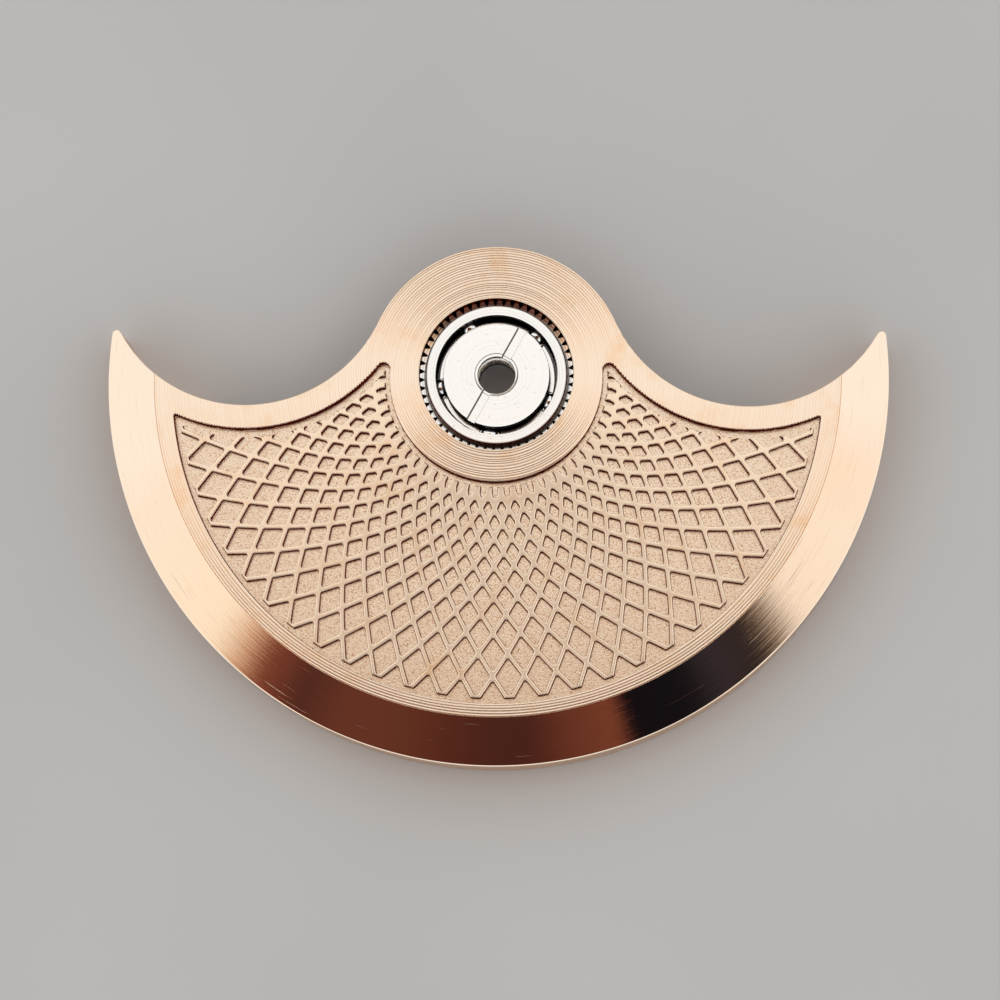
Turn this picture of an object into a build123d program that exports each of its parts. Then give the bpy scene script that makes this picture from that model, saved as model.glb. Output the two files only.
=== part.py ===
from build123d import *

import math
import os

# Winding rotor of an automatic watch: a heavy half ring and an openwork plate that turn
# on a ball bearing. +Z points out of the watch, towards the decorated face, and +Y from
# the weight to the bearing. The origin is on the bearing's axis, at the face where the
# bearing's core seats on the movement. Lengths are millimetres and angles are degrees.

# Outline of the rotor, seen from above
rim_radius = 12.50
hub_width = 1.69
notch_angle = 24.25
horn_angle = 8.60
horn_tip_rounding = 0.15

# Weight and plate, in section
plate_thickness = 0.60
rim_height = 2.00
bevel_width = 1.53
bevel_drop = 0.33
ledge_width = 1.60
foot_chamfer = 0.12

# Recess in the plate: its arc round the hub and its pattern have their centres below the axis
hub_arc_shift = 0.10
pattern_shift = 0.18
hub_band_width = 0.77
edge_band_width = 0.77
land_width = 0.58
recess_depth = 0.28
recess_corner_rounding = 0.08
recess_neck_rounding = 0.22

# Lattice left standing in the recess: two mirrored families of lines that cross in rows
lattice_sink = 0.08
lattice_line_width = 0.11
lattice_lines = 60
lattice_outer_gap = 0.20
lattice_side_gap = 0.26
lattice_hub_gap = 0.18
lattice_first_row = 3

# Ball bearing
ball_count = 5
ball_diameter = 0.64
ball_pitch_radius = 1.86
ball_start_angle = 47.0
race_clearance = 0.01

# Core: a slotted flange with the upper race, on a hollow stem
core_height = 1.35
core_sink = 0.18
core_bore_radius = 0.60
core_bore_chamfer = 0.10
core_shoulder_width = 0.24
core_flange_thickness = 0.31
core_flange_chamfer = 0.06
core_edge_gap = 0.16
core_slot_width = 0.30
core_slot_depth = 0.20
core_slot_angle = 61.5
lower_cone_lift = 0.08

# Outer ring: collar, serration that grips the plate, and drive gear under the plate
ring_sink = 0.15
ring_edge_gap = 0.09
ring_collar_width = 0.32
ring_collar_chamfer = 0.06
serration_teeth = 55
serration_step = 0.10
serration_depth = 0.10
serration_sink = 0.37
gear_teeth = 40
gear_seat_width = 0.33
gear_width = 0.45

# Cage
cage_wall = 0.12
cage_outer_clearance = 0.11
cage_inner_clearance = 0.05
cage_head_gap = 0.35
cage_floor = 0.10
pocket_clearance = 0.03

# Shares of the pitch that a tooth's gap takes, where it is widest and at its root
serration_gap_share = 0.60
gear_gap_share = 0.70
gear_root_share = 0.30

# Shares of the recess's width, outward from the hub's ring, where the rows of crossings lie
lattice_row_shares = (
    0.000, 0.052, 0.113, 0.180, 0.247, 0.313, 0.378, 0.447,
    0.519, 0.596, 0.680, 0.773, 0.875, 0.990, 1.101,
)

# Shares of the gear's module: tooth height above and below the pitch circle
addendum_share = 1.00
dedendum_share = 1.25

# One overrun for every cutting tool
overrun = 0.50

# Heights that follow from the sizes above
plate_top = core_height + core_sink
plate_bottom = plate_top - plate_thickness
rim_bottom = plate_top - rim_height
serration_top = plate_top - serration_sink
gear_bottom = plate_bottom - gear_width

# Bearing: balls between two cones below and above, and a groove of the same angle outside
ball_radius = ball_diameter / 2
race_radius = ball_radius + race_clearance
cone_reach = race_radius * math.sqrt(2)
core_flange_radius = ball_pitch_radius - core_edge_gap
flange_underside = core_height - core_flange_thickness
ball_height = flange_underside + core_edge_gap - cone_reach
waist_radius = ball_pitch_radius - cone_reach
core_stem_radius = waist_radius - core_shoulder_width
ring_bore_radius = ball_pitch_radius + ring_edge_gap
race_depth = ball_pitch_radius + cone_reach - ring_bore_radius
ring_top = plate_top - ring_sink
ring_bottom = 2 * ball_height - ring_top

# Outer ring, the plate on it and the gear below it
ring_collar_radius = ring_bore_radius + ring_collar_width
serration_root_radius = ring_collar_radius + serration_step
plate_bore_radius = serration_root_radius + serration_depth
gear_pitch_radius = plate_bore_radius + gear_seat_width
gear_module = 2 * gear_pitch_radius / gear_teeth

# Cage between the cones and the ring
cage_outer_radius = ring_bore_radius - cage_outer_clearance
cage_inner_radius = cage_outer_radius - cage_wall
cage_top = flange_underside - cage_head_gap
pocket_radius = ball_radius + pocket_clearance
cage_bottom = ball_height - pocket_radius - cage_floor
lower_cone_radius = cage_inner_radius - cage_inner_clearance

# Notch: a circle that touches the hub and cuts the rim at the horn's point
centre = Vector(0, 0)
hub_radius = plate_bore_radius + hub_width
horn_reach = rim_radius * math.cos(math.radians(notch_angle - horn_angle))
notch_distance = (rim_radius**2 - hub_radius**2) / (2 * (horn_reach - hub_radius))
notch_radius = notch_distance - hub_radius
notch_centre = Vector(notch_distance, 0).rotate(Axis.Z, notch_angle)

# Bands of the plate that the recess leaves standing, and the ledge under the plate
hub_ring_radius = hub_radius - hub_band_width
band_radius = notch_radius + edge_band_width
plate_radius = rim_radius - bevel_width
ledge_radius = plate_radius - ledge_width
recess_arc_radius = plate_radius - land_width
hub_arc_centre = Vector(0, -hub_arc_shift)
pattern_centre = Vector(0, -pattern_shift)
lattice_pitch_angle = 360 / lattice_lines


def circles_meet(first, first_radius, second, second_radius):
    """Where two circles cross, clockwise of the line from the first centre to the second."""
    gap = second - first
    reach = (first_radius**2 + gap.length**2 - second_radius**2) / (2 * gap.length)
    turn = math.degrees(math.acos(reach / first_radius))
    return first + gap.normalized().rotate(Axis.Z, -turn) * first_radius


def arc_about(middle, start, end):
    """The shorter arc about a middle point, from one point to another."""
    way = (start - middle).normalized() + (end - middle).normalized()
    return ThreePointArc(start, middle + way.normalized() * (start - middle).length, end)


def on_circle(middle, radius, point):
    """The point of a circle that lies towards another point."""
    return middle + (point - middle).normalized() * radius


def mirrored_face(*half_outline):
    """A face from its right half's outline and the mirror image of it."""
    other_half = [edge.mirror(Plane.YZ) for edge in half_outline]
    return make_face([*half_outline, *other_half])


def turned(*profile):
    """A solid of revolution about the bearing's axis, from points of radius and height."""
    points = [Vector(radius, 0, height) for radius, height in profile]
    return revolve(make_face(Polyline(*points, close=True)), Axis.Z)


def standing(face, bottom, top):
    """A flat face raised into a solid between two heights."""
    return Pos(0, 0, bottom) * extrude(face, top - bottom, clean=False)


def rotor_outline():
    """Hub, two concave notches, two horns and the outer arc."""
    tip_centre = circles_meet(
        centre, rim_radius - horn_tip_rounding, notch_centre, notch_radius + horn_tip_rounding
    )
    hub_end = on_circle(centre, hub_radius, notch_centre)
    notch_end = on_circle(notch_centre, notch_radius, tip_centre)
    rim_start = on_circle(centre, rim_radius, tip_centre)
    return mirrored_face(
        arc_about(centre, Vector(0, hub_radius), hub_end),
        arc_about(notch_centre, hub_end, notch_end),
        arc_about(tip_centre, notch_end, rim_start),
        arc_about(centre, rim_start, Vector(0, -rim_radius)),
    )


def recess_outline():
    """Hub arc, rounded neck, concave side, rounded corner and outer arc."""
    neck_centre = circles_meet(
        hub_arc_centre,
        hub_ring_radius + recess_neck_rounding,
        notch_centre,
        band_radius + recess_neck_rounding,
    )
    corner_centre = circles_meet(
        pattern_centre,
        recess_arc_radius - recess_corner_rounding,
        notch_centre,
        band_radius + recess_corner_rounding,
    )
    hub_start = hub_arc_centre - Vector(0, hub_ring_radius)
    hub_end = on_circle(hub_arc_centre, hub_ring_radius, neck_centre)
    side_start = on_circle(notch_centre, band_radius, neck_centre)
    side_end = on_circle(notch_centre, band_radius, corner_centre)
    outer_start = on_circle(pattern_centre, recess_arc_radius, corner_centre)
    outer_end = pattern_centre - Vector(0, recess_arc_radius)
    return mirrored_face(
        arc_about(hub_arc_centre, hub_start, hub_end),
        arc_about(neck_centre, hub_end, side_start),
        arc_about(notch_centre, side_start, side_end),
        arc_about(corner_centre, side_end, outer_start),
        arc_about(pattern_centre, outer_start, outer_end),
    )


def lattice_area():
    """The part of the recess that the lattice covers."""
    inner_radius = hub_ring_radius + lattice_hub_gap
    outer_radius = recess_arc_radius - lattice_outer_gap
    side_radius = band_radius + lattice_side_gap
    inner_start = hub_arc_centre - Vector(0, inner_radius)
    side_start = circles_meet(hub_arc_centre, inner_radius, notch_centre, side_radius)
    side_end = circles_meet(pattern_centre, outer_radius, notch_centre, side_radius)
    outer_end = pattern_centre - Vector(0, outer_radius)
    return mirrored_face(
        arc_about(hub_arc_centre, inner_start, side_start),
        arc_about(notch_centre, side_start, side_end),
        arc_about(pattern_centre, side_end, outer_end),
    )


def row_point(row, turn):
    """A point of a row of crossings, turned from the ray that points away from the horns."""
    width = recess_arc_radius - hub_ring_radius
    radius = hub_ring_radius + lattice_row_shares[row] * width
    return Vector(0, -radius).rotate(Axis.Z, turn)


def lattice_cell(row):
    """The gap between four lattice lines, on the ray that points away from the horns."""
    half_pitch = lattice_pitch_angle / 2
    corners = (
        row_point(row - 1, 0),
        row_point(row, half_pitch),
        row_point(row + 1, 0),
        row_point(row, -half_pitch),
    )
    crossings = make_face(Polyline(*corners, close=True))
    return offset(crossings, -lattice_line_width / 2, kind=Kind.INTERSECTION)


def lattice_cells():
    """Rows of like cells round the pattern's centre, each row half a pitch from the one before."""
    cells = []
    half_count = math.ceil(90 / lattice_pitch_angle) + 1
    for row in range(lattice_first_row, len(lattice_row_shares) - 1):
        cell = lattice_cell(row)
        stagger = (row + 1) % 2 / 2
        for place in range(-half_count, half_count + 1):
            turned_cell = cell.rotate(Axis.Z, (place + stagger) * lattice_pitch_angle)
            cells.append(turned_cell.translate(pattern_centre))
    return cells


def deep_floor():
    """Everything in the recess that is milled below the lattice."""
    lattice = lattice_area() - lattice_cells()
    return recess_outline() - lattice.faces().sort_by(SortBy.AREA)[-1]


def make_rotor_plate():
    outline = rotor_outline() & Circle(plate_radius)
    plate = standing(outline, plate_bottom, plate_top)
    plate -= standing(Circle(plate_bore_radius), plate_bottom - overrun, plate_top + overrun)
    plate -= standing(recess_outline(), plate_top - lattice_sink, plate_top + overrun)
    plate -= standing(deep_floor(), plate_top - recess_depth, plate_top + overrun)
    return plate


def make_rim_weight():
    ring = turned(
        (ledge_radius, rim_bottom),
        (rim_radius - foot_chamfer, rim_bottom),
        (rim_radius, rim_bottom + foot_chamfer),
        (rim_radius, plate_top - bevel_drop),
        (plate_radius, plate_top),
        (plate_radius, plate_bottom),
        (ledge_radius, plate_bottom),
    )
    return ring & standing(rotor_outline(), rim_bottom - overrun, plate_top + overrun)


def toothed_face(teeth, *gap):
    """A disc with straight-sided gaps round its edge, from points of radius and share of pitch."""
    pitch = 360 / teeth
    outline = []
    for tooth in range(teeth):
        for radius, share in gap:
            outline.append(Vector(radius, 0).rotate(Axis.Z, (tooth + share) * pitch))
    return make_face(Polyline(*outline, close=True))


def make_bearing_outer_ring():
    half_gap = serration_gap_share / 2
    serration = toothed_face(
        serration_teeth,
        (plate_bore_radius, -half_gap),
        (serration_root_radius, 0),
        (plate_bore_radius, half_gap),
    )
    gear_root_radius = gear_pitch_radius - gear_module * dedendum_share
    gear_tip_radius = gear_pitch_radius + gear_module * addendum_share
    gear = toothed_face(
        gear_teeth,
        (gear_tip_radius, -gear_gap_share / 2),
        (gear_root_radius, -gear_root_share / 2),
        (gear_root_radius, gear_root_share / 2),
        (gear_tip_radius, gear_gap_share / 2),
    )
    collar = turned(
        (0, ring_bottom),
        (ring_collar_radius, ring_bottom),
        (ring_collar_radius, ring_top - ring_collar_chamfer),
        (ring_collar_radius - ring_collar_chamfer, ring_top),
        (0, ring_top),
    )
    bore_and_race = turned(
        (0, ring_bottom - overrun),
        (ring_bore_radius, ring_bottom - overrun),
        (ring_bore_radius, ball_height - race_depth),
        (ring_bore_radius + race_depth, ball_height),
        (ring_bore_radius, ball_height + race_depth),
        (ring_bore_radius, ring_top + overrun),
        (0, ring_top + overrun),
    )
    ring = collar + standing(serration, plate_bottom, serration_top)
    ring += standing(gear, gear_bottom, plate_bottom)
    return ring - bore_and_race


def make_bearing_core():
    core = turned(
        (core_bore_radius, 0),
        (core_stem_radius, 0),
        (core_stem_radius, ball_height),
        (waist_radius, ball_height),
        (core_flange_radius, flange_underside),
        (core_flange_radius, core_height - core_flange_chamfer),
        (core_flange_radius - core_flange_chamfer, core_height),
        (core_bore_radius + core_bore_chamfer, core_height),
        (core_bore_radius, core_height - core_bore_chamfer),
    )
    slot = Rectangle(2 * core_flange_radius + overrun, core_slot_width).rotate(Axis.Z, core_slot_angle)
    return core - standing(slot, core_height - core_slot_depth, core_height + overrun)


def make_lower_cone():
    cone_rim = ball_height - (lower_cone_radius - waist_radius)
    return turned(
        (core_stem_radius, lower_cone_lift),
        (lower_cone_radius, lower_cone_lift),
        (lower_cone_radius, cone_rim),
        (waist_radius, ball_height),
        (core_stem_radius, ball_height),
    )


def ball_angle(number):
    return ball_start_angle + number * 360 / ball_count


def make_ball_cage():
    cage = turned(
        (cage_inner_radius, cage_bottom),
        (cage_outer_radius, cage_bottom),
        (cage_outer_radius, cage_top),
        (cage_inner_radius, cage_top),
    )
    mouth = Pos(0, overrun) * Rectangle(2 * pocket_radius, 2 * overrun)
    pocket = Circle(pocket_radius) + mouth
    for number in range(ball_count):
        outward = Vector(1, 0).rotate(Axis.Z, ball_angle(number))
        across = outward.cross(Vector(0, 0, 1))
        face_plane = Plane(origin=(0, 0, ball_height), x_dir=-across, z_dir=outward)
        cage -= extrude(face_plane * pocket, cage_outer_radius + overrun)
    return cage


def make_ball(number):
    return Rot(0, 0, ball_angle(number)) * Pos(ball_pitch_radius, 0, ball_height) * Sphere(ball_radius)


parts = {
    "rotor_plate": make_rotor_plate(),
    "rim_weight": make_rim_weight(),
    "bearing_outer_ring": make_bearing_outer_ring(),
    "bearing_core": make_bearing_core(),
    "lower_cone": make_lower_cone(),
    "ball_cage": make_ball_cage(),
}
for number in range(ball_count):
    parts[f"ball_{number + 1}"] = make_ball(number)

os.makedirs("parts", exist_ok=True)
for name, part in parts.items():
    export_step(part, f"parts/{name}.step")
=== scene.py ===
import math

import bmesh
import bpy
import numpy as np
from mathutils import Matrix, Vector
from mathutils.geometry import delaunay_2d_cdt


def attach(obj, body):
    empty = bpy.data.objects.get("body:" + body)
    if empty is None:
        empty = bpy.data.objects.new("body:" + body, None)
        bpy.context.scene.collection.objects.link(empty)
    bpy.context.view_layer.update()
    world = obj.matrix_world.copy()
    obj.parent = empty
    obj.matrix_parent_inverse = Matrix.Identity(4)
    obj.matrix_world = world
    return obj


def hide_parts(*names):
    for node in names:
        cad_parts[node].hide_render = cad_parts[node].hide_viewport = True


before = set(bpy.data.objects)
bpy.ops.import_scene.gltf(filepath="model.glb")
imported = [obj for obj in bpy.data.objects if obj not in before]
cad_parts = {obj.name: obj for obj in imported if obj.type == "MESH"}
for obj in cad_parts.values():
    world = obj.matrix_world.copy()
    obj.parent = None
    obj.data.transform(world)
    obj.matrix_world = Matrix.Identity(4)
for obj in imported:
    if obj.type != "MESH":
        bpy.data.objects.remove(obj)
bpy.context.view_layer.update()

# Lengths are millimetres until a mesh is made, and angles are degrees.
MILLIMETRE = 0.001

# Outline of the rotor, as in the part's source
rim_radius = 12.50
hub_radius = 4.16
notch_angle = 24.25
horn_angle = 8.60
horn_tip_rounding = 0.15

# Weight and plate, in section
plate_top = 1.53
plate_bottom = 0.93
rim_bottom = -0.47
plate_radius = 10.97
ledge_radius = 9.37
bevel_drop = 0.33
foot_chamfer = 0.12

# Recess and lattice
hub_arc_shift = 0.10
pattern_shift = 0.18
hub_ring_radius = 3.39
edge_band_width = 0.77
recess_arc_radius = 10.39
recess_depth = 0.28
recess_corner_rounding = 0.08
recess_neck_rounding = 0.22
lattice_sink = 0.08
lattice_line_width = 0.11
lattice_pitch_angle = 6.0
lattice_outer_gap = 0.20
lattice_side_gap = 0.26
lattice_hub_gap = 0.18
lattice_row_shares = (
    0.000, 0.052, 0.113, 0.180, 0.247, 0.313, 0.378, 0.447,
    0.519, 0.596, 0.680, 0.773, 0.875, 0.990, 1.101,
)
lattice_corner_rounding = 0.03
cell_rounding = 0.085
cell_reach = 1.1
first_cell_width = 0.205
first_cell_shoulder = 3.69
first_cell_tip = 3.98
first_cell_rounding = 0.06
first_cell_overlap = 0.1
pattern_ceiling = 1.0

# Bearing
core_height = 1.35
core_bore_radius = 0.60
core_bore_chamfer = 0.10
core_stem_radius = 1.153
waist_radius = 1.393
core_flange_radius = 1.70
core_flange_chamfer = 0.06
flange_underside = 1.04
core_slot_width = 0.30
core_slot_depth = 0.20
core_slot_angle = 61.5
thread_pitch = 0.125
thread_depth = 0.07
ball_height = 0.7333
ring_bore_radius = 1.95
ring_collar_radius = 2.27
ring_edge_break = 0.04
ring_top = 1.38
ring_bottom = 0.0866
race_depth = 0.3767
serration_root_radius = 2.33
plate_bore_radius = 2.47
serration_teeth = 55
serration_top = 1.16
serration_dish = 0.035
serration_edge = 0.008
gear_teeth = 40
gear_root_radius = 2.625
gear_tip_radius = 2.94
gear_bottom = 0.48
gear_edge = 0.02

horn_reach = rim_radius * math.cos(math.radians(notch_angle - horn_angle))
notch_distance = (rim_radius**2 - hub_radius**2) / (2 * (horn_reach - hub_radius))
notch_radius = notch_distance - hub_radius
band_radius = notch_radius + edge_band_width


def polar(radius, degrees):
    turn = math.radians(degrees)
    return Vector((radius * math.cos(turn), radius * math.sin(turn)))


def turned_by(point, degrees):
    return Matrix.Rotation(math.radians(degrees), 2) @ point


def mirrored(point):
    return Vector((-point.x, point.y))


def circles_meet(first, first_radius, second, second_radius):
    """Where two circles cross, clockwise of the line from the first centre to the second."""
    gap = second - first
    reach = (first_radius**2 + gap.length_squared - second_radius**2) / (2 * gap.length)
    turn = math.degrees(math.acos(max(-1, min(1, reach / first_radius))))
    return first + turned_by(gap.normalized(), -turn) * first_radius


centre = Vector((0, 0))
right_notch = polar(notch_distance, notch_angle)
left_notch = mirrored(right_notch)
hub_arc_centre = Vector((0, -hub_arc_shift))
pattern_centre = Vector((0, -pattern_shift))
horn_tip = circles_meet(
    centre, rim_radius - horn_tip_rounding, right_notch, notch_radius + horn_tip_rounding
)


# Regions bounded by arcs, with rounded corners


def arc_points(middle, start, end, steps):
    """Points of the shorter arc, both ends included."""
    first, last = start - middle, end - middle
    turn = math.atan2(first.x * last.y - first.y * last.x, first.dot(last))
    return [middle + turned_by(first, math.degrees(turn) * k / steps) for k in range(steps + 1)]


def foot_direction(middle, side):
    """The way from the middle of a rounding to the side that it touches."""
    side_centre, radius, sign = side
    return (side_centre - middle).normalized() * sign


def crossing(first, second, inset, target):
    """Where two sides of a region meet when both are moved inward, near a target point."""
    (c1, r1, s1), (c2, r2, s2) = first, second
    r1, r2 = r1 + s1 * inset, r2 + s2 * inset
    found = (circles_meet(c1, r1, c2, r2), circles_meet(c2, r2, c1, r1))
    return min(found, key=lambda point: (point - target).length)


class Region:
    """Inside of a ring of sides. A side is (circle centre, radius, +1 if the region is outside)."""

    def __init__(self, sides, targets, roundings):
        self.sides = sides
        self.corners = []
        for number, (target, rounding) in enumerate(zip(targets, roundings)):
            first, second = sides[number], sides[(number + 1) % len(sides)]
            middle = crossing(first, second, rounding, target)
            self.corners.append((middle, rounding, first, second))

    def distance(self, points):
        """Signed distance to the edge, positive inside, for an array of points."""
        result = pattern_ceiling - points[:, 1]
        for side_centre, radius, sign in self.sides:
            away = np.hypot(points[:, 0] - side_centre.x, points[:, 1] - side_centre.y)
            result = np.minimum(result, sign * (away - radius))
        for middle, rounding, first, second in self.corners:
            if rounding <= 0:
                continue
            one, two = foot_direction(middle, first), foot_direction(middle, second)
            gone = points - np.array(middle)
            turn = one.x * two.y - one.y * two.x
            past_one = (one.x * gone[:, 1] - one.y * gone[:, 0]) * turn > 0
            past_two = (gone[:, 0] * two.y - gone[:, 1] * two.x) * turn > 0
            corner = past_one & past_two & (points[:, 0] * middle.x > 0)
            result[corner] = rounding - np.hypot(gone[corner, 0], gone[corner, 1])
        return result

    def contour(self, inset, corner_steps, side_step):
        """Closed ring of points at a distance inside the edge."""
        pieces = []
        for middle, rounding, first, second in self.corners:
            if rounding > 0:
                start = middle + foot_direction(middle, first) * (rounding - inset)
                end = middle + foot_direction(middle, second) * (rounding - inset)
                pieces.append(arc_points(middle, start, end, corner_steps))
            else:
                pieces.append([crossing(first, second, inset, middle)])
        ring = []
        for number, piece in enumerate(pieces):
            ring += piece
            side_centre = self.corners[number][3][0]
            stops = [piece[-1], pieces[(number + 1) % len(pieces)][0]]
            if side_centre.x == 0:
                radius = (piece[-1] - side_centre).length
                stops.insert(1, side_centre - Vector((0, radius)))
            for start, end in zip(stops, stops[1:]):
                steps = max(1, math.ceil((end - start).length / side_step))
                ring += arc_points(side_centre, start, end, steps)[1:]
            ring.pop()
        return ring


def pattern_region(hub_gap, side_gap, outer_gap, neck_rounding, corner_rounding):
    """The recess, or the part of it that keeps some distance from its edges."""
    near_neck, near_corner = Vector((3.6, 0.1)), Vector((10.3, -1.3))
    return Region(
        [
            (hub_arc_centre, hub_ring_radius + hub_gap, 1),
            (right_notch, band_radius + side_gap, 1),
            (pattern_centre, recess_arc_radius - outer_gap, -1),
            (left_notch, band_radius + side_gap, 1),
        ],
        [near_neck, near_corner, mirrored(near_corner), mirrored(near_neck)],
        [neck_rounding, corner_rounding, corner_rounding, neck_rounding],
    )


recess = pattern_region(0, 0, 0, recess_neck_rounding, recess_corner_rounding)
lattice_area = pattern_region(
    lattice_hub_gap, lattice_side_gap, lattice_outer_gap, 0, lattice_corner_rounding
)


class Cell:
    """A convex gap between lattice lines, with rounded corners."""

    def __init__(self, corners, inset, rounding):
        count = len(corners)
        self.rounding = rounding
        self.middles = []
        for k in range(count):
            before, here, after = corners[k - 1], corners[k], corners[(k + 1) % count]
            one, two = (here - before).normalized(), (after - here).normalized()
            inward = Vector((-one.y, one.x))
            lean = (one - two).normalized()
            self.middles.append(here - lean * (inset + rounding) / -lean.dot(inward))
        self.centre = sum(corners, Vector((0, 0))) / count

    def sides(self):
        count = len(self.middles)
        return [(self.middles[k], self.middles[(k + 1) % count]) for k in range(count)]

    def distance(self, points):
        """Signed distance to the rounded edge, positive inside."""
        inner = np.full(len(points), 1e9)
        outer = np.full(len(points), 1e9)
        for start, end in self.sides():
            along = (end - start).normalized()
            gone = points - np.array(start)
            run = gone @ np.array(along)
            inner = np.minimum(inner, along.x * gone[:, 1] - along.y * gone[:, 0])
            run = np.clip(run, 0, (end - start).length)
            foot = gone - run[:, None] * np.array(along)
            outer = np.minimum(outer, np.hypot(foot[:, 0], foot[:, 1]))
        return self.rounding + np.where(inner > 0, inner, -outer)

    def contour(self, inset, corner_steps):
        ring = []
        sides = self.sides()
        for k, middle in enumerate(self.middles):
            (a, b), (c, d) = sides[k - 1], sides[k]
            one, two = (b - a).normalized(), (d - c).normalized()
            reach = self.rounding - inset
            start = middle + Vector((one.y, -one.x)) * reach
            end = middle + Vector((two.y, -two.x)) * reach
            ring += arc_points(middle, start, end, corner_steps)
        return ring


def row_radius(row):
    return hub_ring_radius + lattice_row_shares[row] * (recess_arc_radius - hub_ring_radius)


def lattice_cell(row, turn):
    """The gap between four lattice lines. The first row opens into the groove round the hub."""

    def place(radius, across):
        return turned_by(Vector((across, -radius)), turn) + pattern_centre

    if row == 1:
        half, start = first_cell_width / 2, hub_ring_radius - first_cell_overlap
        corners = [
            place(start, half),
            place(start, -half),
            place(first_cell_shoulder, -half),
            place(first_cell_tip, 0),
            place(first_cell_shoulder, half),
        ]
        return Cell(corners, 0, first_cell_rounding)
    side = turned_by(Vector((0, -row_radius(row))), lattice_pitch_angle / 2)
    corners = [
        place(row_radius(row - 1), 0),
        place(-side.y, -side.x),
        place(row_radius(row + 1), 0),
        place(-side.y, side.x),
    ]
    half_length = (row_radius(row + 1) - row_radius(row - 1)) / 2
    half_width = abs(row_radius(row) * math.sin(math.radians(lattice_pitch_angle / 2)))
    half_line = lattice_line_width / 2
    in_radius = half_length * half_width / math.hypot(half_length, half_width) - half_line
    return Cell(corners, half_line, min(cell_rounding, 0.5 * in_radius))


def lattice_cells():
    """Rows of like cells, each row half a pitch from the one before."""
    overhang = 1.0
    cells = []
    half_count = math.ceil(90 / lattice_pitch_angle) + 1
    for row in range(1, len(lattice_row_shares) - 1):
        stagger = (row + 1) % 2 / 2
        for place in range(-half_count, half_count + 1):
            cell = lattice_cell(row, (place + stagger) * lattice_pitch_angle)
            if lattice_area.distance(np.array([tuple(cell.centre)]))[0] > -overhang:
                cells.append(cell)
    return cells


# Profile of a cut edge: a broken top edge, an upright wall and a small fillet at its foot
edge_break = 0.030
edge_drop = 0.009
wall_run = 0.015
foot_fillet = 0.014
contour_insets = (-edge_break, 0, wall_run, wall_run + foot_fillet)


def drop_profile(distance, depth):
    """Height below the top of an edge, at a distance past it."""
    heights = (0, -edge_drop, foot_fillet - depth, -depth)
    return np.interp(distance, contour_insets, heights)


class Mesher:
    """Collects constraint edges in plan and triangulates them."""

    def __init__(self):
        self.points = []
        self.edges = []

    def ring(self, ring, keep=None):
        first = len(self.points)
        count = len(ring)
        self.points += ring
        for one in range(count):
            two = (one + 1) % count
            if keep is None or keep[one] or keep[two]:
                self.edges.append((first + one, first + two))

    def chain(self, chain):
        first = len(self.points)
        self.points += chain
        self.edges += [(first + k, first + k + 1) for k in range(len(chain) - 1)]

    def triangles(self):
        used = sorted({k for edge in self.edges for k in edge})
        place = {old: new for new, old in enumerate(used)}
        edges = [(place[a], place[b]) for a, b in self.edges]
        points = [self.points[k] for k in used]
        result = delaunay_2d_cdt(points, edges, [], 0, 1e-5, False)
        return as_array(result[0]), np.array(result[2])


def as_array(ring):
    return np.array([tuple(p) for p in ring])


def inside(points, ring):
    """Which points lie inside a closed ring, by counting crossings."""
    ring = as_array(ring)
    result = np.zeros(len(points), bool)
    x, y = points[:, 0], points[:, 1]
    for (x1, y1), (x2, y2) in zip(ring, np.roll(ring, -1, axis=0)):
        if y1 != y2:
            span = (y1 > y) != (y2 > y)
            result ^= span & (x < (x2 - x1) * (y - y1) / (y2 - y1) + x1)
    return result


def plate_outline(inset):
    """Hub, notches and outer arc of the plate, as a closed ring of points."""
    outer = plate_radius - inset
    rim_end = circles_meet(centre, outer, right_notch, notch_radius + inset)
    hub_end = polar(hub_radius - inset, notch_angle)
    hub_steps, notch_steps, rim_steps = 34, 60, 100
    half = arc_points(centre, Vector((0, hub_radius - inset)), hub_end, hub_steps)
    half += arc_points(right_notch, hub_end, rim_end, notch_steps)[1:]
    half += arc_points(centre, rim_end, Vector((0, -outer)), rim_steps)[1:]
    return half + [mirrored(point) for point in reversed(half[1:-1])]


def circle_points(radius, count):
    return [polar(radius, 360 * k / count) for k in range(count)]


def new_object(name, bm, materials, smooth_angle=30):
    """An object in metres from a mesh in millimetres, smooth but for edges over the angle."""
    mesh = bpy.data.meshes.new(name)
    bmesh.ops.scale(bm, vec=(MILLIMETRE,) * 3, verts=bm.verts)
    bm.to_mesh(mesh)
    bm.free()
    mesh.shade_smooth()
    mesh.set_sharp_from_angle(angle=math.radians(smooth_angle))
    for material in materials:
        mesh.materials.append(material)
    obj = bpy.data.objects.new(name, mesh)
    bpy.context.scene.collection.objects.link(obj)
    return obj


def height_field(points, heights, faces, indices):
    """A mesh of the given triangles, each with its material."""
    bm = bmesh.new()
    verts = {}
    for face, index in zip(faces, indices):
        for k in map(int, face):
            if k not in verts:
                verts[k] = bm.verts.new((*points[k], heights[k]))
        bm.faces.new([verts[int(k)] for k in face]).material_index = int(index)
    return bm


def extruded(bm, edges, index):
    """New faces out of a row of edges: the new edges on the far side, and their points."""
    made = bmesh.ops.extrude_edge_only(bm, edges=edges)["geom"]
    verts = {item for item in made if isinstance(item, bmesh.types.BMVert)}
    for item in made:
        if isinstance(item, bmesh.types.BMFace):
            item.material_index = index
    rims = [e for e in made if isinstance(e, bmesh.types.BMEdge) and set(e.verts) <= verts]
    return rims, verts


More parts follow.
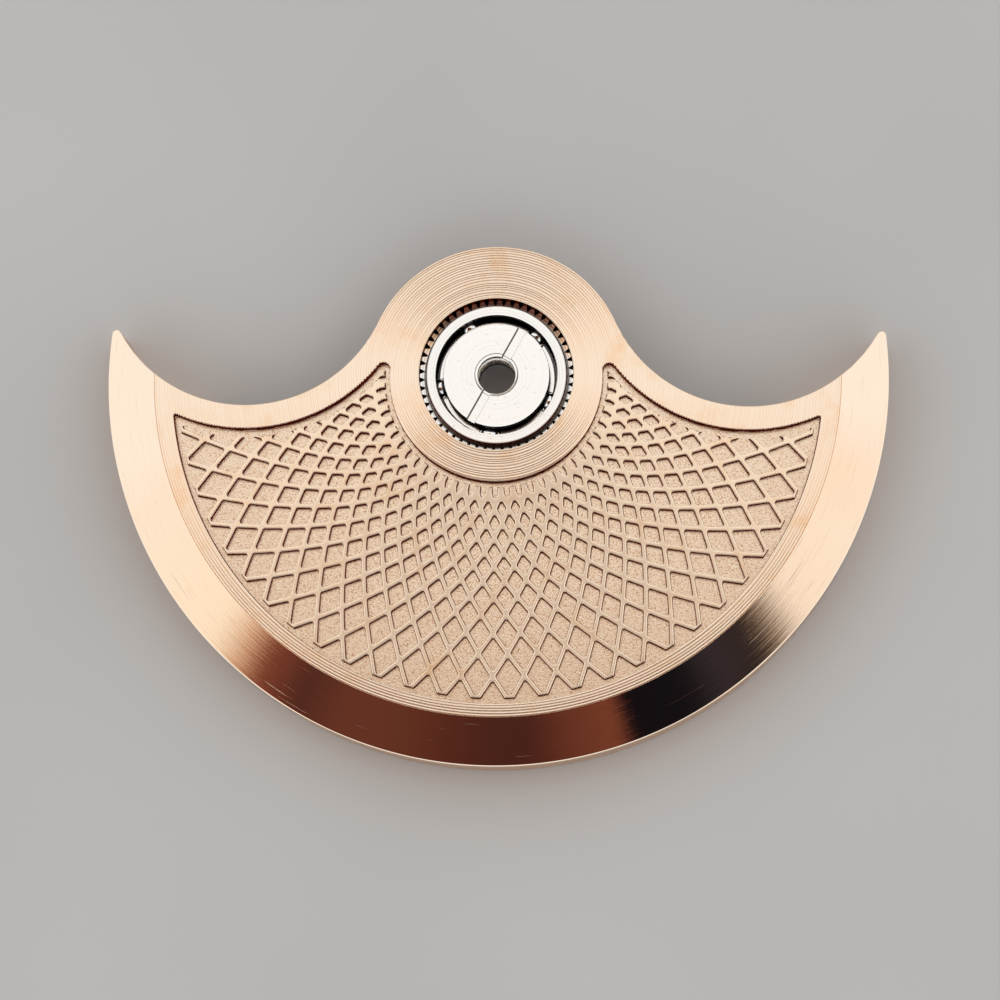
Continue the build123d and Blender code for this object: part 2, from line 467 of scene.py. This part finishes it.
def close_below(bm, bottom, wall_index, base_index, bore_radius, bore_index):
    """Drops walls from the open edges to a level underside."""
    open_edges = [edge for edge in bm.edges if edge.is_boundary]
    foot, verts = extruded(bm, open_edges, wall_index)
    for vert in verts:
        vert.co.z = bottom
    bm.normal_update()
    filled = bmesh.ops.triangle_fill(bm, edges=foot, use_beauty=True, use_dissolve=False)
    for item in filled["geom"]:
        if isinstance(item, bmesh.types.BMFace):
            item.material_index = base_index
    for vert in verts:
        if vert.co.xy.length < bore_radius + 0.01:
            for face in vert.link_faces:
                if face.material_index == wall_index and abs(face.normal.z) < 0.5:
                    face.material_index = bore_index
    bmesh.ops.recalc_face_normals(bm, faces=bm.faces)


LAND, LATTICE, WALL, FLOOR, SIDE = range(5)


def make_plate(materials):
    """The plate as a height field with upright walls, closed below."""
    mesher = Mesher()
    edge_chamfer, bore_chamfer = 0.02, 0.03
    bore_steps, side_step, hair, overlap = 220, 0.2, 0.001, 0.06
    outlines = [plate_outline(inset) for inset in (0, edge_chamfer)]
    bores = [circle_points(plate_bore_radius + inset, bore_steps) for inset in (0, bore_chamfer)]
    for ring in outlines + bores:
        mesher.ring(ring)
    cells = lattice_cells()
    for inset in contour_insets:
        mesher.ring(recess.contour(inset, 8, side_step))
        ring = lattice_area.contour(-inset, 4, side_step)
        mesher.ring(ring, recess.distance(as_array(ring)) > 0)
        for cell in cells:
            ring = cell.contour(inset, 4)
            mesher.ring(ring, lattice_area.distance(as_array(ring)) > -overlap)
    points, faces = mesher.triangles()

    def depths(spots):
        """How far spots lie past the edges of the deep floor and of the recess."""
        deep = np.full(len(spots), -1.0)
        for cell in cells:
            gone = spots - np.array(cell.centre)
            near = np.hypot(gone[:, 0], gone[:, 1]) < cell_reach
            deep[near] = np.maximum(deep[near], cell.distance(spots[near]))
        deep = np.maximum(deep, -lattice_area.distance(spots))
        return deep, recess.distance(spots)

    deep, in_recess = depths(points)
    heights = np.maximum(
        drop_profile(deep, recess_depth - lattice_sink) - lattice_sink,
        drop_profile(in_recess, recess_depth),
    )
    heights[in_recess <= -edge_break] = 0
    away = np.hypot(points[:, 0], points[:, 1])
    edge = away > plate_radius - hair
    for notch in (right_notch, left_notch):
        edge |= np.hypot(points[:, 0] - notch.x, points[:, 1] - notch.y) < notch_radius + hair
    over_hub = points[:, 1] > abs(points[:, 0]) * math.tan(math.radians(notch_angle))
    edge |= (away > hub_radius - hair) & over_hub
    heights[edge] -= edge_chamfer
    heights[away < plate_bore_radius + hair] -= bore_chamfer

    centroids = points[faces].mean(axis=1)
    solid = inside(centroids, outlines[0]) & ~inside(centroids, bores[0])
    faces, centroids = faces[solid], centroids[solid]
    deep, in_recess = depths(centroids)
    indices = np.full(len(faces), LAND)
    # Recess walls take a dark red-brown material: painted shade
    indices[in_recess > 0] = WALL
    indices[in_recess > wall_run] = LATTICE
    indices[(in_recess > wall_run) & (deep > 0)] = WALL
    indices[(in_recess > wall_run) & (deep > wall_run)] = FLOOR
    bm = height_field(points, plate_top + heights, faces, indices)
    # The bore's wall takes the same dark red-brown: painted shade
    close_below(bm, plate_bottom, SIDE, SIDE, plate_bore_radius, WALL)
    return new_object("plate_top", bm, materials, smooth_angle=12)


def rim_end_angle(radius):
    """The highest angle above +X that the right horn reaches at a radius."""
    distance = horn_tip.length
    touch = right_notch + (horn_tip - right_notch).normalized() * notch_radius
    if radius > touch.length:
        reach = (radius**2 + distance**2 - horn_tip_rounding**2) / (2 * radius * distance)
        tip_angle = math.degrees(math.atan2(horn_tip.y, horn_tip.x))
        return tip_angle + math.degrees(math.acos(min(1, reach)))
    reach = (radius**2 + notch_distance**2 - notch_radius**2) / (2 * radius * notch_distance)
    return notch_angle - math.degrees(math.acos(reach))


BEVEL, RIM_SIDE = range(2)


def make_rim(materials):
    """The weight, swept from horn to horn, with its edges broken."""
    slope = bevel_drop / (rim_radius - plate_radius)
    edge, lip, columns = 0.03, 0.012, 300
    # Closer together outwards, where the horns narrow to their tips
    under_plate = (ledge_radius, 9.87, 10.47, plate_radius)
    over_bevel = (11.3, 11.7, 12.0, 12.2, 12.3, 12.37, 12.42, 12.455, rim_radius - edge)

    def bevel_height(radius):
        return plate_top - (radius - plate_radius) * slope

    section = [(radius, plate_bottom) for radius in under_plate]
    section.append((plate_radius, plate_top - lip))
    for radius in (plate_radius + lip, *over_bevel):
        section.append((radius, bevel_height(radius)))
    section.append((rim_radius - 0.3 * edge, bevel_height(rim_radius - edge) - 0.4 * edge))
    section.append((rim_radius, plate_top - bevel_drop - edge))
    shares = [0, 0, *(k / columns for k in range(1, columns)), 1, 1]
    last = len(shares) - 1
    bm = bmesh.new()
    upper, lower = [], []
    for number, (radius, height) in enumerate(section):
        end = rim_end_angle(radius)
        base = rim_bottom + max(0, radius - (rim_radius - foot_chamfer))
        row_high, row_low = [], []
        for column, share in enumerate(shares):
            angle = end - (180 + 2 * end) * share
            drop = 0
            if column in (1, last - 1):
                angle += math.copysign(math.degrees(edge / radius), column - 2)
            if column in (0, last) and number >= len(under_plate):
                drop = edge
            spot = polar(radius, angle)
            row_high.append(bm.verts.new((*spot, height - drop)))
            row_low.append(bm.verts.new((*spot, base)))
        upper.append(row_high)
        lower.append(row_low)
    for i in range(len(section) - 1):
        for j in range(last):
            n = j + 1
            top = bm.faces.new((upper[i][j], upper[i][n], upper[i + 1][n], upper[i + 1][j]))
            top.material_index = BEVEL if i >= len(under_plate) else RIM_SIDE
            base = bm.faces.new((lower[i][j], lower[i + 1][j], lower[i + 1][n], lower[i][n]))
            base.material_index = RIM_SIDE
        for j in (0, last):
            end = bm.faces.new((upper[i][j], upper[i + 1][j], lower[i + 1][j], lower[i][j]))
            end.material_index = RIM_SIDE
    for j in range(last):
        for i in (0, len(section) - 1):
            side = bm.faces.new((upper[i][j], upper[i][j + 1], lower[i][j + 1], lower[i][j]))
            side.material_index = RIM_SIDE
    bmesh.ops.remove_doubles(bm, verts=bm.verts, dist=1e-6)
    bmesh.ops.recalc_face_normals(bm, faces=bm.faces)
    return new_object("rim_bevelled", bm, materials, 20)


# Steel finishes: bright, a dark painted shade, and a mid-grey painted shade on cut walls and edges
BRIGHT, SHADED, CUT_SHADE = range(3)


def lathe(name, profile, materials, steps=192, smooth_angle=35):
    """A closed ring from (radius, height, material) points, in order round the section."""
    bm = bmesh.new()
    rings = []
    for radius, height, _ in profile:
        rings.append([bm.verts.new((*spot, height)) for spot in circle_points(radius, steps)])
    for i, (_, _, index) in enumerate(profile):
        following = rings[(i + 1) % len(profile)]
        for k in range(steps):
            n = (k + 1) % steps
            face = bm.faces.new((rings[i][k], rings[i][n], following[n], following[k]))
            face.material_index = index
    bmesh.ops.recalc_face_normals(bm, faces=bm.faces)
    return new_object(name, bm, materials, smooth_angle)


def toothed_points(teeth, *gap):
    """The outline of a disc with gaps round its edge, from points of radius and share of pitch."""
    pitch = 360 / teeth
    places = [(radius, tooth + share) for tooth in range(teeth) for radius, share in gap]
    return [polar(radius, place * pitch) for radius, place in places]


def toothed_ring(name, outline, inner_radius, heights, dish, edge, indices, materials):
    """A toothed disc with a bore, broken edges and a top that sinks towards the bore."""
    bm = bmesh.new()
    outer, inner = [], []
    low, high = heights
    side_index, top_index = indices
    tip = max(spot.length for spot in outline)
    levels = ((low, edge, 0), (low + edge, 0, 0), (high - edge, 0, 1), (high, edge, 1))
    for height, inset, share in levels:
        ring = []
        for spot in outline:
            sink = share * dish * (tip - spot.length) / (tip - inner_radius)
            ring.append(bm.verts.new((*(spot - spot.normalized() * inset), height - sink)))
        outer.append(ring)
    bore = [spot.normalized() * inner_radius for spot in outline]
    for height in (low, high - dish):
        inner.append([bm.verts.new((*spot, height)) for spot in bore])
    for k in range(len(outline)):
        n = (k + 1) % len(outline)
        for i, index in enumerate((side_index, side_index, top_index)):
            face = bm.faces.new((outer[i][k], outer[i][n], outer[i + 1][n], outer[i + 1][k]))
            face.material_index = index
        top = bm.faces.new((outer[3][k], outer[3][n], inner[1][n], inner[1][k]))
        top.material_index = top_index
        bm.faces.new((inner[0][k], inner[0][n], outer[0][n], outer[0][k]))
        bm.faces.new((inner[1][k], inner[1][n], inner[0][n], inner[0][k]))
    bmesh.ops.recalc_face_normals(bm, faces=bm.faces)
    return new_object(name, bm, materials)


def make_ring(materials):
    """Collar with its race, serration that grips the plate, and drive gear."""
    least_wall, seat, foot_break, bore_break = 0.05, 0.01, 0.03, 0.02
    groove = ring_collar_radius - least_wall
    groove_half = race_depth - (groove - ring_bore_radius)
    collar = [
        (ring_bore_radius, ring_bottom + foot_break, BRIGHT),
        (ring_bore_radius + foot_break, ring_bottom, BRIGHT),
        (ring_collar_radius - ring_edge_break, ring_bottom, BRIGHT),
        (ring_collar_radius, ring_bottom + ring_edge_break, SHADED),
        (ring_collar_radius, ring_top - 0.05, BRIGHT),
        (ring_collar_radius - 0.012, ring_top - 0.02, BRIGHT),
        (ring_collar_radius - ring_edge_break, ring_top, BRIGHT),
        (ring_bore_radius + bore_break, ring_top, BRIGHT),
        (ring_bore_radius, ring_top - bore_break, SHADED),
        (ring_bore_radius, ball_height + race_depth, SHADED),
        (groove, ball_height + groove_half, SHADED),
        (groove, ball_height - groove_half, SHADED),
        (ring_bore_radius, ball_height - race_depth, SHADED),
    ]
    inner_radius = ring_collar_radius - seat
    serration = toothed_points(
        serration_teeth,
        (plate_bore_radius, -0.3),
        (serration_root_radius, -0.09),
        (serration_root_radius, 0.09),
        (plate_bore_radius, 0.3),
    )
    gear = toothed_points(
        gear_teeth,
        (gear_tip_radius, -0.35),
        (gear_root_radius, -0.15),
        (gear_root_radius, 0.15),
        (gear_tip_radius, 0.35),
    )
    return [
        lathe("ring_collar", collar, materials),
        toothed_ring(
            "ring_serration",
            serration,
            inner_radius,
            (plate_bottom, serration_top),
            serration_dish,
            serration_edge,
            (SHADED, BRIGHT),
            materials,
        ),
        toothed_ring(
            "ring_gear",
            gear,
            inner_radius,
            (gear_bottom, plate_bottom),
            0,
            gear_edge,
            (BRIGHT, SHADED),
            materials,
        ),
    ]


def make_core(materials):
    """Slotted flange as a height field, closed by a stem with a threaded hole."""
    mesher = Mesher()
    steps = 240
    lip, cut_ring = 0.012, 0.02
    stem_chamfer, foot_break, first_ridge_drop = 0.03, 0.05, 0.06
    hole_edge = core_bore_radius + core_bore_chamfer
    radii = (
        core_bore_radius,
        core_bore_radius + lip,
        hole_edge - cut_ring,
        hole_edge,
        core_flange_radius - core_flange_chamfer,
        core_flange_radius - lip,
        core_flange_radius,
    )
    drops = (core_bore_chamfer, 0.075, 0.025, 0, 0, 0.03, core_flange_chamfer)
    for radius in radii:
        mesher.ring(circle_points(radius, steps))
    along = polar(1, core_slot_angle)
    across = Vector((-along.y, along.x))
    reach = core_flange_radius * 1.02
    half = core_slot_width / 2
    # From the slot's floor up its wall to the broken edge
    offsets = (half - 0.026, half - 0.012, half, half + 0.014)
    slot_drops = (core_slot_depth, core_slot_depth - 0.016, 0.012, 0)
    for offset in offsets:
        for sign in (-1, 1):
            start = across * offset * sign - along * reach
            end = across * offset * sign + along * reach
            mesher.chain([start.lerp(end, k / 16) for k in range(17)])
    points, faces = mesher.triangles()
    away = np.hypot(points[:, 0], points[:, 1])
    side = np.abs(points @ np.array(across))
    round_drop, slot_drop = np.interp(away, radii, drops), np.interp(side, offsets, slot_drops)
    heights = core_height - np.maximum(round_drop, slot_drop)
    centroids = points[faces].mean(axis=1)
    solid = inside(centroids, circle_points(core_flange_radius, steps))
    solid &= ~inside(centroids, circle_points(core_bore_radius, steps))
    faces, centroids = faces[solid], centroids[solid]
    side = np.abs(centroids @ np.array(across))
    away = np.hypot(centroids[:, 0], centroids[:, 1])
    # The slot's walls and thin rings at the hole's edges take a mid-grey steel: painted shade
    indices = np.where((side > offsets[0]) & (side < half), CUT_SHADE, BRIGHT)
    indices[away < core_bore_radius + lip] = CUT_SHADE
    indices[(away > hole_edge - cut_ring) & (away < hole_edge)] = CUT_SHADE
    bm = height_field(points, heights, faces, indices)
    rims = [edge for edge in bm.edges if edge.is_boundary]
    outer_edges = [edge for edge in rims if edge.verts[0].co.xy.length > waist_radius]
    inner_edges = [edge for edge in rims if edge.verts[0].co.xy.length <= waist_radius]

    def step(edges, radius, height, index):
        edges, verts = extruded(bm, edges, index)
        for vert in verts:
            vert.co = (*(vert.co.xy.normalized() * radius), height)
        return edges

    for radius, height, index in (
        (core_flange_radius, flange_underside, SHADED),
        (waist_radius, ball_height, SHADED),
        (core_stem_radius, ball_height, SHADED),
        (core_stem_radius, stem_chamfer, BRIGHT),
        (core_stem_radius - stem_chamfer, 0, BRIGHT),
    ):
        outer_edges = step(outer_edges, radius, height, index)
    height = core_height - core_slot_depth - first_ridge_drop
    valley_radius, valley_drop = core_bore_radius + thread_depth, 0.45 * thread_pitch
    while height > core_bore_chamfer:
        inner_edges = step(inner_edges, core_bore_radius, height, BRIGHT)
        inner_edges = step(inner_edges, valley_radius, height - valley_drop, BRIGHT)
        height -= thread_pitch
    # The hole's foot also takes the mid-grey painted-shade steel
    inner_edges = step(inner_edges, core_bore_radius, foot_break, CUT_SHADE)
    inner_edges = step(inner_edges, core_bore_radius + foot_break, 0, BRIGHT)
    bmesh.ops.bridge_loops(bm, edges=outer_edges + inner_edges)
    bmesh.ops.remove_doubles(bm, verts=bm.verts, dist=1e-6)
    bmesh.ops.recalc_face_normals(bm, faces=bm.faces)
    return new_object("core_slotted", bm, materials, 25)


# Materials


def srgb(red, green, blue):
    """A colour of the eye's scale, 0 to 255, as linear light."""
    result = []
    for value in (red, green, blue):
        share = value / 255
        result.append(share / 12.92 if share <= 0.04045 else ((share + 0.055) / 1.055) ** 2.4)
    return (*result, 1)


class Nodes:
    """A node tree with short calls for its nodes."""

    def __init__(self, tree):
        self.tree = tree

    def node(self, kind, inputs=None, **settings):
        node = self.tree.nodes.new(kind)
        for key, value in settings.items():
            setattr(node, key, value)
        for key, value in (inputs or {}).items():
            self.feed(node.inputs[key], value)
        return node

    def feed(self, socket, value):
        if isinstance(value, bpy.types.NodeSocket):
            self.tree.links.new(value, socket)
        else:
            socket.default_value = value

    def math(self, operation, first, second=0.0):
        return self.node("ShaderNodeMath", {0: first, 1: second}, operation=operation).outputs[0]

    def noise(self, vector, scale, detail=2.0, roughness=0.5):
        inputs = {"Vector": vector, "Scale": scale, "Detail": detail, "Roughness": roughness}
        return self.node("ShaderNodeTexNoise", inputs).outputs[0]

    def line_noise(self, value, scale, detail=2.0, roughness=0.5):
        """Noise that changes along one number only, for lines that never end."""
        inputs = {"W": value, "Scale": scale, "Detail": detail, "Roughness": roughness}
        return self.node("ShaderNodeTexNoise", inputs, noise_dimensions="1D").outputs[0]

    def ramp(self, value, stops):
        node = self.node("ShaderNodeValToRGB", {"Fac": value})
        elements = node.color_ramp.elements
        while len(elements) < len(stops):
            elements.new(0.5)
        for element, (position, colour) in zip(elements, stops):
            element.position = position
            element.color = colour
        return node.outputs["Color"]

    def mix(self, factor, first, second):
        node = self.node("ShaderNodeMix", data_type="RGBA")
        for key, value in (("Factor", factor), ("A", first), ("B", second)):
            socket = [item for item in node.inputs if item.name == key and item.enabled][0]
            self.feed(socket, value)
        return [item for item in node.outputs if item.enabled][0]

    def remap(self, value, low, high, new_low=0.0, new_high=1.0):
        inputs = {"Value": value, "From Min": low, "From Max": high}
        inputs.update({"To Min": new_low, "To Max": new_high})
        return self.node("ShaderNodeMapRange", inputs).outputs["Result"]

    def combine(self, x, y, z=0.0):
        return self.node("ShaderNodeCombineXYZ", {0: x, 1: y, 2: z}).outputs[0]


class Surface(Nodes):
    """A material, with the place on the object in millimetres."""

    def __init__(self, name):
        self.material = bpy.data.materials.new(name)
        self.material.use_nodes = True
        super().__init__(self.material.node_tree)
        self.shader = self.tree.nodes["Principled BSDF"]
        inputs = {0: self.node("ShaderNodeTexCoord").outputs["Object"], 1: (1 / MILLIMETRE,) * 3}
        self.place = self.node("ShaderNodeVectorMath", inputs, operation="MULTIPLY").outputs[0]
        self.x, self.y, self.z = self.node("ShaderNodeSeparateXYZ", {0: self.place}).outputs
        x_squared, y_squared = (self.math("MULTIPLY", value, value) for value in (self.x, self.y))
        self.radius = self.math("SQRT", self.math("ADD", x_squared, y_squared))
        self.angle = self.math("ARCTAN2", self.y, self.x)

    def bump(self, height, strength, distance):
        inputs = {"Height": height, "Strength": strength, "Distance": distance * MILLIMETRE}
        normal = self.node("ShaderNodeBump", inputs).outputs["Normal"]
        self.tree.links.new(normal, self.shader.inputs["Normal"])

    def turned(self, anisotropy):
        """Light spreads across the lines of a turned surface."""
        spaces = {"vector_type": "VECTOR", "convert_from": "OBJECT", "convert_to": "WORLD"}
        outward = self.combine(self.x, self.y)
        tangent = self.node("ShaderNodeVectorTransform", {0: outward}, **spaces)
        self.tree.links.new(tangent.outputs[0], self.shader.inputs["Tangent"])
        self.shader.inputs["Anisotropic"].default_value = anisotropy

    def finish(self, colour, metallic, roughness):
        self.feed(self.shader.inputs["Base Color"], colour)
        self.feed(self.shader.inputs["Metallic"], metallic)
        self.feed(self.shader.inputs["Roughness"], roughness)
        return self.material


def turned_gold(name, pale, deep, line, line_strength, relief, roughness):
    """Rose gold with the continuous concentric lines of a lathe, and soft warm patches."""
    line_pitch = 0.08
    s = Surface(name)
    drift = s.math("MULTIPLY", s.line_noise(s.radius, 2.6, 2.0, 0.6), 9.0)
    phase = s.math("ADD", s.math("MULTIPLY", s.radius, 2 * math.pi / line_pitch), drift)
    wave = s.math("ADD", s.math("MULTIPLY", s.math("SINE", phase), 0.5), 0.5)
    fine = s.line_noise(s.radius, 24.0, 1.0, 0.6)
    lines = s.math("ADD", s.math("MULTIPLY", wave, 0.8), s.math("MULTIPLY", fine, 0.4))
    patches = s.noise(s.place, 0.9, 3.0, 0.6)
    tint = s.ramp(s.remap(patches, 0.52, 0.75), [(0.0, pale), (1.0, deep)])
    lined = s.mix(s.remap(lines, 0.35, 0.12, 0.0, line_strength), tint, line)
    s.bump(lines, strength=1.0, distance=relief)
    s.turned(0.9)
    return s.finish(lined, 1.0, s.remap(patches, 0.3, 0.7, roughness - 0.02, roughness + 0.02))


def blasted_gold(name):
    """The milled floor of the recess, with a fine grain."""
    s = Surface(name)
    grain = s.noise(s.place, 22.0, 3.0, 0.75)
    stops = [(0.0, srgb(196, 150, 114)), (0.40, srgb(255, 233, 207)), (1.0, srgb(255, 246, 228))]
    colour = s.ramp(s.remap(grain, 0.34, 0.66), stops)
    s.bump(grain, strength=1.0, distance=0.004)
    return s.finish(colour, 1.0, 0.26)


def milled_gold(name, pale, dark, edge, roughness, relief):
    """Cut walls, with marks that run level round them."""
    s = Surface(name)
    marks = s.noise(s.combine(s.x, s.y, s.math("MULTIPLY", s.z, 6.0)), 6.0, 3.0)
    colour = s.ramp(s.remap(marks, 0.3, 0.7), [(0.0, dark), (1.0, pale)])
    s.bump(marks, strength=0.4, distance=relief)
    s.shader.inputs["Specular Tint"].default_value = edge
    return s.finish(colour, 1.0, roughness)


def bevel_gold(name):
    """The polished bevel, with light scratches that run round it."""
    s = Surface(name)

    def drawn_out(across, along, detail, roughness):
        """Noise that is fine across the bevel and long round it."""
        place = s.combine(s.math("MULTIPLY", s.radius, across), s.math("MULTIPLY", s.angle, along))
        return s.noise(place, 1.5, detail, roughness)

    scratch = drawn_out(7.0, 3.0, 4.0, 0.75)
    streaks = drawn_out(14.0, 1.2, 2.0, 0.6)
    stops = [(0.0, srgb(246, 214, 184)), (0.3, srgb(254, 233, 210)), (1.0, srgb(255, 235, 213))]
    colour = s.ramp(s.remap(scratch, 0.3, 0.7), stops)
    deep = drawn_out(15.0, 3.0, 1.0, 0.5)
    soft = s.math("MULTIPLY", s.math("ADD", scratch, s.math("MULTIPLY", streaks, 0.5)), 0.3)
    s.bump(s.math("ADD", soft, s.remap(deep, 0.72, 0.80, 0.0, 0.3)), strength=1.0, distance=0.003)
    return s.finish(colour, 1.0, s.remap(streaks, 0.3, 0.7, 0.02, 0.06))


def turned_steel(name, bright, dull, roughness, line_share, line_strength, relief):
    """Steel with faint concentric lines and a few specks."""
    s = Surface(name)
    fine = s.line_noise(s.radius, 15.0, 2.0, 0.7)
    specks = s.noise(s.place, 8.0, 3.0, 0.7)
    tint = s.ramp(s.remap(specks, 0.26, 0.38), [(0.0, dull), (1.0, bright)])
    lined = s.mix(s.remap(fine, line_share, line_share - 0.1, 0.0, line_strength), tint, dull)
    s.bump(fine, strength=1.0, distance=relief)
    return s.finish(lined, 1.0, roughness)


def pale_floor(name):
    """A matt floor, hardly clouded."""
    s = Surface(name)
    cloud = s.noise(s.place, 0.05, 2.0)
    stops = [(0.0, srgb(191, 190, 189)), (1.0, srgb(198, 197, 196))]
    return s.finish(s.ramp(s.remap(cloud, 0.3, 0.7), stops), 0.0, 0.9)


def dress(obj, body, slot_name, *nodes):
    """Puts a piece on its body, in place of the named CAD nodes; slot_name is not used."""
    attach(obj, body)
    if nodes:
        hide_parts(*nodes)


gold_land = turned_gold(
    "gold_land",
    pale=srgb(252, 231, 207),
    deep=srgb(250, 215, 180),
    line=srgb(226, 176, 132),
    line_strength=0.40,
    relief=0.0050,
    roughness=0.22,
)
gold_lattice = turned_gold(
    "gold_lattice",
    pale=srgb(253, 232, 206),
    deep=srgb(249, 215, 180),
    line=srgb(226, 178, 134),
    line_strength=0.35,
    relief=0.0018,
    roughness=0.30,
)
# Dark red-brown for the recess and bore walls: painted shade, where the real walls are rose gold
gold_wall_painted_shade = milled_gold(
    "gold_wall_painted_shade",
    pale=srgb(112, 45, 18),
    dark=srgb(78, 27, 9),
    edge=(0.64, 0.36, 0.26, 1),
    roughness=0.3,
    relief=0.004,
)
gold_floor = blasted_gold("gold_floor")
gold_side = milled_gold(
    "gold_side",
    pale=srgb(242, 206, 172),
    dark=srgb(206, 160, 120),
    edge=(1, 1, 1, 1),
    roughness=0.3,
    relief=0.01,
)
gold_bevel = bevel_gold("gold_bevel")

# Steel: name, bright and dull colour, roughness, share and strength of the lines, and their relief
clear, dull = srgb(253, 250, 245), srgb(206, 202, 196)
ball_clear, ball_dull = srgb(246, 246, 244), srgb(226, 224, 222)
dark, darker = srgb(60, 57, 55), srgb(40, 37, 35)
# Mid-grey steel for cut walls and edges, darker than the bright steel: painted shade
cut_shade_pale, cut_shade_dark = srgb(120, 117, 114), srgb(84, 80, 77)
steel = turned_steel("steel", clear, dull, 0.14, 0.47, 0.9, 0.0012)
steel_plain = turned_steel("steel_plain", clear, dull, 0.14, 0.38, 0.2, 0.0003)
steel_shaded = turned_steel("steel_shaded", dark, darker, 0.35, 0.4, 0.3, 0.001)
steel_cut_shade = turned_steel("steel_cut_shade", cut_shade_pale, cut_shade_dark, 0.25, 0.4, 0.3, 0.001)
steel_ball = turned_steel("steel_ball", ball_clear, ball_dull, 0.07, 0.38, 0.1, 0.0003)

plate = make_plate([gold_land, gold_lattice, gold_wall_painted_shade, gold_floor, gold_side])
dress(plate, "weight", "plate_gold", "rotor_plate")
dress(make_rim([gold_bevel, gold_side]), "weight", "rim_gold", "rim_weight")
collar, *toothed = make_ring([steel, steel_shaded])
dress(collar, "weight", "ring_steel", "bearing_outer_ring")
for piece in toothed:
    dress(piece, "weight", "ring_steel")
dress(make_core([steel_plain, steel_shaded, steel_cut_shade]), "core", "core_steel", "bearing_core")

# CAD nodes that keep their own shape
carried = {"ball_cage": steel_plain, "lower_cone": steel_shaded}
carried.update({f"ball_{number}": steel_ball for number in range(1, 6)})
for name, material in carried.items():
    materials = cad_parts[name].data.materials
    materials.clear()
    materials.append(material)


# Floor, light and camera


def make_stage():
    """A plain floor that the weight's foot stands on."""
    half_size = 150
    bm = bmesh.new()
    bmesh.ops.create_grid(bm, x_segments=8, y_segments=8, size=half_size)
    for vert in bm.verts:
        vert.co.z = rim_bottom
    new_object("floor", bm, [pale_floor("floor_pale")])


def make_world():
    """Even light from all round, but for a dark patch on the -Y side with a warm upper edge."""
    world = bpy.data.worlds.new("studio")
    bpy.context.scene.world = world
    world.use_nodes = True
    n = Nodes(world.node_tree)
    direction = n.node("ShaderNodeTexCoord").outputs["Generated"]
    x, y, z = n.node("ShaderNodeSeparateXYZ", {0: direction}).outputs
    white, cream, fringe = (1, 1, 1, 1), (1.00, 0.96, 0.91, 1), (1.00, 0.62, 0.34, 1)
    # Left to right: sky, a soft edge, a brown card with two darker folds, a black card, sky
    places = (
        (-0.57, white),
        (-0.53, cream),
        (-0.430, (1.00, 0.92, 0.81, 1)),
        (-0.402, (0.68, 0.44, 0.30, 1)),
        (-0.376, (0.21, 0.060, 0.037, 1)),
        (-0.32, (0.078, 0.026, 0.021, 1)),
        (-0.265, (0.125, 0.039, 0.026, 1)),
        (-0.21, (0.126, 0.039, 0.025, 1)),
        (-0.155, (0.112, 0.034, 0.021, 1)),
        (-0.10, (0.088, 0.024, 0.0175, 1)),
        (-0.045, (0.067, 0.0210, 0.016, 1)),
        (0.01, (0.065, 0.020, 0.016, 1)),
        (0.066, (0.128, 0.037, 0.0235, 1)),
        (0.142, (0.180, 0.056, 0.032, 1)),
        (0.147, (0.006, 0.005, 0.008, 1)),
        (0.24, (0.008, 0.007, 0.010, 1)),
        (0.28, (0.033, 0.027, 0.034, 1)),
        (0.335, (0.030, 0.021, 0.021, 1)),
        (0.353, (0.20, 0.14, 0.10, 1)),
        (0.380, (0.97, 0.89, 0.82, 1)),
        (0.49, cream),
        (0.53, white),
    )
    reach = 0.6
    stops = [((place + reach) / (2 * reach), colour) for place, colour in places]
    across = n.remap(x, -reach, reach)
    patch = n.ramp(across, stops)
    warm = n.ramp(across, [(0.05, white), (0.15, fringe), (0.80, fringe), (0.92, white)])
    near = n.mix(n.remap(y, 0.17, 0.08), white, warm)
    patch = n.mix(n.remap(y, -0.44, -0.60), patch, white)
    background = n.tree.nodes["Background"].inputs
    n.feed(background["Color"], n.mix(n.remap(y, 0.085, 0.0), near, patch))
    background["Strength"].default_value = 1.0


def make_camera():
    """The photograph's camera: a long lens, about 10 degrees from straight above."""
    focal_pixels, image_pixels, sensor_width = 2885.2, 1000, 36
    tilt, lean, roll = -0.168397, -0.041575, math.radians(-0.65)
    shift = Vector((-0.12346, 4.03761, -92.0))
    turn = Matrix.Rotation(tilt, 3, "X") @ Matrix.Rotation(lean, 3, "Y")
    turn = turn @ Matrix.Rotation(roll, 3, "Z")
    place = -(turn.transposed() @ shift) + Vector((0, 0, plate_top))
    camera_data = bpy.data.cameras.new("camera")
    camera_data.sensor_width = sensor_width
    camera_data.lens = sensor_width * focal_pixels / image_pixels
    camera_data.clip_start = 0.001
    camera_data.clip_end = 10
    camera = bpy.data.objects.new("camera", camera_data)
    matrix = turn.transposed().to_4x4()
    matrix.translation = place * MILLIMETRE
    camera.matrix_world = matrix
    bpy.context.scene.collection.objects.link(camera)
    bpy.context.scene.camera = camera


make_stage()
make_world()
make_camera()
bpy.context.scene.view_settings.view_transform = "Standard"
